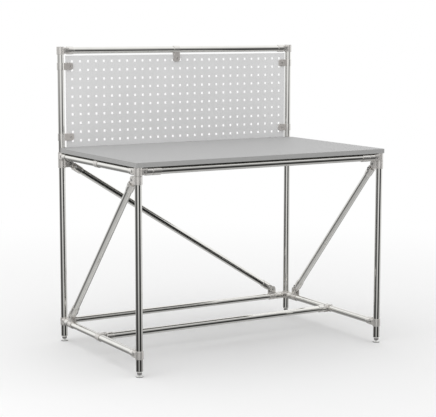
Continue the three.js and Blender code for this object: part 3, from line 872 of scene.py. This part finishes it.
def add_panel_clamps():
    shape = panel_clamp()
    screw = cap_screw(JAW_WELL, JAW_SCREW_RADIUS)
    seat = Vector((JAW_SCREW_X, SHEET_FRONT - CLAMP_JAW + JAW_WELL, 0))
    local = Matrix.Translation(seat) @ along(-Y)
    places = {}
    for side, sign in (("left", -1), ("right", 1)):
        for level in ("upper", "lower"):
            node = f"panel_clamp_{level}_{side}"
            centre = Vector((sign * LEG_X, LEG_Y, middle(node).z))
            places[node] = Matrix.Translation(centre) @ mirror(-sign)
    node = "panel_clamp_top"
    centre = Vector((middle(node).x, LEG_Y, TOP_RAIL_Z))
    places[node] = Matrix.Translation(centre) @ Matrix.Rotation(math.pi / 2, 4, "Y")
    heads = []
    for node, matrix in places.items():
        placed = copy_placed(shape, matrix)
        add_piece(f"{node}_body", placed, [CLAMP_METAL, POLISHED], replaces=[node])
        heads.append(copy_placed(screw, matrix @ local))
    add_fasteners("panel_clamp_screws", heads, ZINC)
    shape.free()
    screw.free()


def dress_panel():
    node = frame["nodes"]["perforated_panel"]
    node.data.materials.clear()
    node.data.materials.append(PANEL_COAT)


# Board and its clamps

NOTCH_GAP = 4 * MM  # room round a rear post
BOARD_CORNER = 3 * MM  # rounding of the upright edges
BOARD_TOP_EDGE = 1.5 * MM
BOARD_BACK_EDGE = 0.4 * MM
STRIP_WIDTH = 9 * MM
STRIP_INSET = 68 * MM  # keeps the strips clear of the castings and clamps
BOARD_SCREW_RADIUS = 4 * MM
BOARD_SCREW_HEIGHT = 2.4 * MM
BOARD_SCREW_SIDE = 10 * MM  # from the middle of a board clamp
BOARD_SCREW_INSET = 12 * MM  # from the free edge of its flange


def add_board():
    low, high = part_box("worktop")
    notch_x, notch_y = LEG_X - TUBE_RADIUS - NOTCH_GAP, LEG_Y - TUBE_RADIUS - NOTCH_GAP
    outline = [
        (low.x, low.y), (high.x, low.y), (high.x, notch_y), (notch_x, notch_y),
        (notch_x, high.y), (-notch_x, high.y), (-notch_x, notch_y), (low.x, notch_y),
    ]
    bm = bmesh.new()
    face = bm.faces.new([bm.verts.new((x, y, low.z)) for x, y in outline])
    top = bmesh.ops.extrude_face_region(bm, geom=[face])["geom"]
    raised = [v for v in top if isinstance(v, bmesh.types.BMVert)]
    bmesh.ops.translate(bm, vec=Z * (high.z - low.z), verts=raised)
    bmesh.ops.recalc_face_normals(bm, faces=bm.faces)
    ease(bm, BOARD_CORNER, 4, [e for e in bm.edges if abs(e.verts[0].co.z - e.verts[1].co.z) > MM])
    sharp = [e for e in bm.edges if e.is_manifold and e.calc_face_angle() > math.radians(60)]
    ease(bm, BOARD_TOP_EDGE, 3, [e for e in sharp if all(v.co.z > high.z - NEAR for v in e.verts)])
    ease(bm, BOARD_BACK_EDGE, 2, [e for e in bm.edges if all(v.co.z < low.z + NEAR for v in e.verts)])
    # Upright faces take the edge band's painted shade, downward faces the underside's
    layers = [BOARD_FACE, SHADED_BOARD_EDGE, PAINTED_SHADE_UNDERSIDE]
    for face in bm.faces:
        if face.normal.z > 0.999:
            layer = BOARD_FACE
        elif face.normal.z < -0.999:
            layer = PAINTED_SHADE_UNDERSIDE
        else:
            layer = SHADED_BOARD_EDGE
        face.material_index = layers.index(layer)
    add_piece("worktop_board", bm, layers, replaces=["worktop"])


def add_gap_shade_strips():
    """Black strips that the board lies on, along the tops of the rails: painted shade in the gap"""
    bottom, top = UPPER_RAIL_Z + TUBE_RADIUS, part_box("worktop")[0].z
    strips = []
    for side, across in (("front", X), ("rear", X), ("left", Y), ("right", Y)):
        centre = middle(f"upper_rail_{side}")
        reach = extent(f"upper_rail_{side}").dot(across) / 2 - STRIP_INSET
        half = across * reach + (X + Y - across) * STRIP_WIDTH / 2
        centre.z = bottom
        strips.append(block(centre - half, centre + half + Z * (top - bottom)))
    add_piece("gap_shade_strips", merged(strips), [GAP_SHADE_BLACK], flat=False)


def board_clamp():
    """Ring along X with a flange under the board towards Y"""
    half = extent("board_clamp_left").x / 2
    top = JOINT_RADIUS
    ring = bar(JOINT_RADIUS, -half, half, X, edge=CAST_EDGE)
    flange = block((-half, 0, top - BOARD_CLAMP_PLATE), (half, BOARD_CLAMP_FLANGE, top), edge=CAST_EDGE)
    return carve([ring, flange], [bar(BORE_RADIUS, -half - OVERRUN, half + OVERRUN, X)])


def add_board_clamps():
    shape = board_clamp()
    head = cap_screw(BOARD_SCREW_HEIGHT, BOARD_SCREW_RADIUS)
    heads = []
    for side in ("left", "right"):
        node = f"board_clamp_{side}"
        centre = Vector((middle(node).x, -LEG_Y, UPPER_RAIL_Z))
        add_casting(node, copy_placed(shape, Matrix.Translation(centre)), [POLISHED])
        y, z = BOARD_CLAMP_FLANGE - BOARD_SCREW_INSET, JOINT_RADIUS - BOARD_CLAMP_PLATE
        for x in (-BOARD_SCREW_SIDE, BOARD_SCREW_SIDE):
            heads.append(seated(head, centre + Vector((x, y, z)), -Z))
    add_fasteners("board_screws", heads, ZINC)
    shape.free()
    head.free()


# Feet

THREAD_PITCH = 1.5 * MM
THREAD_DEPTH = 0.75 * MM
SPINDLE_RADIUS = 5 * MM
SPINDLE_HOLE = SPINDLE_RADIUS + FIT_GAP
PAD_THICKNESS = 3.5 * MM
PAD_EDGE = 0.8 * MM
SOLE_HEIGHT = 2.4 * MM
HUB_RADIUS = 8.5 * MM  # over the corners
HUB_HEIGHT = 2.5 * MM
PLUG_COLLAR = 14 * MM
PLUG_DEPTH = 24 * MM
PLUG_RIM = 1 * MM
PLUG_NOSE_HEIGHT = 9.5 * MM
PLUG_NOSE_RADIUS = 10 * MM
PLUG_NOSE_EDGE = 4 * MM
PLUG_NOSE_GAP = 0.05 * MM  # between the nose and the insert above it


def levelling_foot(height):
    """Steel pad with a rounded edge, a hexagon to turn it by and a threaded spindle"""
    radius = extent("levelling_foot_front_left").x / 2
    hub_top = PAD_THICKNESS + HUB_HEIGHT
    pad = turned([
        (0, 0), (radius, 0), (radius, SOLE_HEIGHT), (radius, PAD_THICKNESS), (0, PAD_THICKNESS),
    ])
    ease(pad, PAD_EDGE, 3, [
        e for e in pad.edges
        if all(v.co.z > SOLE_HEIGHT + NEAR and v.co.xy.length > radius / 2 for v in e.verts)
    ])
    hub = hexagon(HUB_RADIUS * math.sqrt(3), PAD_THICKNESS / 2, hub_top, edge=CUT_EDGE)
    core = SPINDLE_RADIUS - THREAD_DEPTH
    turns = int((height - hub_top) / THREAD_PITCH)
    top = hub_top + turns * THREAD_PITCH
    profile = [(0, PAD_THICKNESS / 2), (core, PAD_THICKNESS / 2)]
    for turn in range(turns):
        base = hub_top + turn * THREAD_PITCH
        profile += [(core, base), (SPINDLE_RADIUS, base + THREAD_PITCH / 2)]
    profile += [(core, top), (0, top)]
    foot = carve([pad, hub, turned(profile, POCKET_STEPS)], [])
    # The pad's lowest band is near-black: painted contact shadow on the floor
    for face in foot.faces:
        face.material_index = face.calc_center_median().z < SOLE_HEIGHT
    return foot


def leg_plug():
    """Pale insert in the end of the tube, with its cone under it"""
    inside = TUBE_RADIUS - TUBE_WALL - FIT_GAP
    top = PLUG_COLLAR + PLUG_DEPTH
    return turned([
        (SPINDLE_HOLE, PLUG_NOSE_HEIGHT), (PLUG_NOSE_RADIUS, PLUG_NOSE_HEIGHT),
        (TUBE_RADIUS, PLUG_COLLAR - PLUG_RIM), (TUBE_RADIUS, PLUG_COLLAR), (inside, PLUG_COLLAR),
        (inside, top), (SPINDLE_HOLE, top),
    ])


def plug_nose():
    """Domed end of the plug, round the spindle, darkened as painted shade under the leg"""
    top = PLUG_NOSE_HEIGHT - PLUG_NOSE_GAP
    bm = turned([(SPINDLE_HOLE, 0), (PLUG_NOSE_RADIUS, 0), (PLUG_NOSE_RADIUS, top), (SPINDLE_HOLE, top)])
    return ease(bm, PLUG_NOSE_EDGE, 6, [
        e for e in bm.edges
        if all(v.co.z < NEAR and v.co.xy.length > SPINDLE_HOLE + MM for v in e.verts)
    ])


def add_feet():
    foot_height = extent("levelling_foot_front_left").z
    foot, plug, nose = levelling_foot(foot_height), leg_plug(), plug_nose()
    for corner in ("front_left", "front_right", "rear_left", "rear_right"):
        node = f"levelling_foot_{corner}"
        place = middle(node)
        on_floor = Matrix.Translation((place.x, place.y, 0))
        add_piece(
            f"{node}_steel", copy_placed(foot, on_floor), [FOOT_ZINC, CONTACT_SHADOW_SOLE],
            body=f"foot_{corner}", replaces=[node], smooth_under=30,
        )
        node = f"leg_plug_{corner}"
        raised = on_floor @ Matrix.Translation(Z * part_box(node)[0].z)
        insert = copy_placed(plug, raised)
        add_piece(f"{node}_insert", insert, [PLUG_LIGHT], replaces=[node], flat=False)
        add_piece(f"{node}_nose", copy_placed(nose, raised), [PLUG_NOSE_SHADE], flat=False)
    for bm in (foot, plug, nose):
        bm.free()


# Studio

AMBIENT = 0.93  # light from all round on matte surfaces

# What polished metal mirrors, as degrees above the horizon and levels: how light the walls are,
# how much of the flags shows, and where the flags of a higher band take over
BY_ELEVATION = {
    "walls": [
        (-90, 0.62), (-72, 0.62), (-60, 0.56), (-48, 0.5), (-38, 0.43), (-28, 0.38), (-20, 0.38),
        (-14, 0.42), (-11, 0.7), (-7, 0.92), (-2, 0.95), (12, 1),
    ],
    "reach": [
        (-90, 0.3), (-80, 0.6), (-65, 0.95), (-50, 1), (-3, 0.97), (3, 0.98), (8, 0.94), (13, 0.8),
        (24, 0.62), (39, 0.46), (52, 0.3), (75, 0),
    ],
    "low": [(-44, 0), (-26, 1)],
    "middle": [(-22, 0), (-15, 1)],
    "high": [(-6, 0), (0, 1)],
}
# How dark the flags of each band are, by degrees to the right of the camera's line
BY_AZIMUTH = {
    "bottom": [
        (-75, 0.05), (-58, 0.2), (-25, 0.4), (0, 0.45), (25, 0.88), (35, 0.96), (48, 0.96),
        (60, 0.66), (76, 0.4), (100, 0), (138, 0), (147, 0.38), (165, 0.3), (180, 0.05),
    ],
    "low": [
        (-165, 0.1), (-142, 0.4), (-126, 0.42), (-118, 0.64), (-98, 0.65), (-88, 0.87), (60, 1),
        (75, 1), (85, 0.3), (110, 0.5), (140, 0.15), (150, 0.25), (175, 0.1),
    ],
    "middle": [
        (-122, 0.25), (-116, 0.55), (-105, 0.65), (-90, 0.95), (-45, 0.92), (-28, 0.75),
        (-15, 0.12), (8, 0.08), (18, 0.95), (68, 1), (78, 0.2), (100, 0), (125, 0.2), (150, 0.1),
    ],
    "high": [
        (-180, 0.25), (-160, 0.4), (-146, 0.3), (-134, 0.1), (-127, 0), (-121, 0.03), (-115, 0.45),
        (-85, 0.35), (-65, 0.45), (-45, 0.45), (-22, 0.3), (-8, 0), (20, 0), (42, 0.4),
        (50, 0.7), (55, 0.9), (69, 0.9), (79, 0.1), (90, 0),
    ],
}

FLOOR_COLOUR = "#F9F9F9"
FLOOR_FADE = (1.0, 3.8)  # distances from the middle between which the floor turns white


def look_angles(tree):
    """Azimuth and elevation of a look into the world, each as 0 to 1, with the camera's side at 0.5"""
    look = add_node(tree, "ShaderNodeTexCoord").outputs["Generated"]
    turn = -math.atan2(CAMERA_PLACE.y, CAMERA_PLACE.x)
    turned_look = add_node(tree, "ShaderNodeMapping", {"Vector": look, "Rotation": (0, 0, turn)})
    parts = add_node(tree, "ShaderNodeSeparateXYZ", {"Vector": turned_look.outputs["Vector"]}).outputs
    angle = add_node(tree, "ShaderNodeMath", {0: parts["Y"], 1: parts["X"]}, operation="ARCTAN2")
    rise = add_node(tree, "ShaderNodeMath", {0: parts["Z"]}, operation="ARCSINE")
    shares = []
    for node, most in ((angle, math.pi), (rise, math.pi / 2)):
        sockets = {"Value": node.outputs[0], "From Min": -most, "From Max": most}
        shares.append(add_node(tree, "ShaderNodeMapRange", sockets).outputs["Result"])
    return shares


def add_world():
    """A white studio. Polished metal sees its walls with dark flags beside the camera."""
    world = bpy.data.worlds.new("studio")
    scene.world = world
    world.use_nodes = True
    world.cycles.sampling_method = "NONE"
    tree = world.node_tree
    tree.nodes.clear()
    azimuth, elevation = look_angles(tree)
    levels, flags = {}, {}
    for made, bands, share, span in (
        (levels, BY_ELEVATION, elevation, 180), (flags, BY_AZIMUTH, azimuth, 360),
    ):
        for name, band in bands.items():
            stops = [(degrees / span + 0.5, level) for degrees, level in band]
            made[name] = add_node(tree, "ShaderNodeValToRGB", {"Fac": share}, stops).outputs["Color"]
    shade = flags["bottom"]
    for name in ("low", "middle", "high"):
        sockets = {"Factor": levels[name], "A": shade, "B": flags[name]}
        shade = add_node(tree, "ShaderNodeMix", sockets, data_type="FLOAT").outputs["Result"]
    sockets = {0: shade, 1: levels["reach"]}
    dimmed = add_node(tree, "ShaderNodeMath", sockets, operation="MULTIPLY").outputs[0]
    left = add_node(tree, "ShaderNodeMath", {0: 1.0, 1: dimmed}, operation="SUBTRACT").outputs[0]
    sockets = {0: levels["walls"], 1: left}
    mirrored = add_node(tree, "ShaderNodeMath", sockets, operation="MULTIPLY").outputs[0]
    rays = add_node(tree, "ShaderNodeLightPath").outputs
    light = AMBIENT
    for ray, level in (("Is Glossy Ray", mirrored), ("Is Camera Ray", 1.0)):
        sockets = {"Factor": rays[ray], "A": light, "B": level}
        light = add_node(tree, "ShaderNodeMix", sockets, data_type="FLOAT").outputs["Result"]
    background = add_node(tree, "ShaderNodeBackground", {"Color": light, "Strength": 1})
    add_node(tree, "ShaderNodeOutputWorld", {"Surface": background.outputs["Background"]})


def floor_material():
    """Matte pale floor that turns white towards its edges, where the camera sees it"""
    material, tree = new_material("pale floor")
    place = add_node(tree, "ShaderNodeTexCoord").outputs["Object"]
    distance = add_node(tree, "ShaderNodeVectorMath", {0: place}, operation="LENGTH").outputs["Value"]
    fade = add_node(
        tree, "ShaderNodeMapRange",
        {"Value": distance, "From Min": FLOOR_FADE[0], "From Max": FLOOR_FADE[1]},
        interpolation_type="SMOOTHSTEP",
    ).outputs["Result"]
    matte = add_node(
        tree, "ShaderNodeBsdfPrincipled",
        {"Base Color": colour(FLOOR_COLOUR), "Roughness": 0.5, "Specular IOR Level": 0.0},
    ).outputs["BSDF"]
    white = add_node(tree, "ShaderNodeEmission", {"Color": (1, 1, 1, 1), "Strength": 1})
    rays = add_node(tree, "ShaderNodeLightPath").outputs
    share = add_node(
        tree, "ShaderNodeMath", {0: fade, 1: rays["Is Camera Ray"]}, operation="MULTIPLY"
    ).outputs[0]
    mixed = add_node(tree, "ShaderNodeMixShader", {0: share, 1: matte, 2: white.outputs["Emission"]})
    add_node(tree, "ShaderNodeOutputMaterial", {"Surface": mixed.outputs["Shader"]})
    return material


def add_floor():
    """Pale studio floor that runs out into the white of the walls"""
    bm = bmesh.new()
    bmesh.ops.create_grid(bm, x_segments=2, y_segments=2, size=20)
    mesh = bpy.data.meshes.new("floor")
    bm.to_mesh(mesh)
    bm.free()
    mesh.materials.append(floor_material())
    floor = bpy.data.objects.new("floor", mesh)
    scene.collection.objects.link(floor)
    floor.visible_glossy = False


def add_softbox(name, place, target, size, power):
    light = bpy.data.lights.new(name, "AREA")
    light.shape = "RECTANGLE"
    light.size, light.size_y = size
    light.energy = power
    holder = bpy.data.objects.new(name, light)
    holder.location = place
    holder.rotation_euler = (Vector(target) - Vector(place)).to_track_quat("-Z", "Y").to_euler()
    holder.visible_glossy = False
    holder.visible_camera = False
    scene.collection.objects.link(holder)


add_camera()
add_world()
add_floor()
add_softbox("overhead softbox", place=(0, -0.4, 3.6), target=(0, 0, 0.4), size=(3.2, 2.6), power=8)
add_softbox("side softbox", place=(-3.4, -0.4, 1.9), target=(0, 0, 0.7), size=(2.4, 2.0), power=16)

for tube_node in TUBES:
    add_tube(tube_node)
add_joints()
add_braces()
add_screws()
add_panel_clamps()
dress_panel()
add_board()
add_gap_shade_strips()
add_board_clamps()
add_feet()

scene.view_settings.view_transform = "Standard"
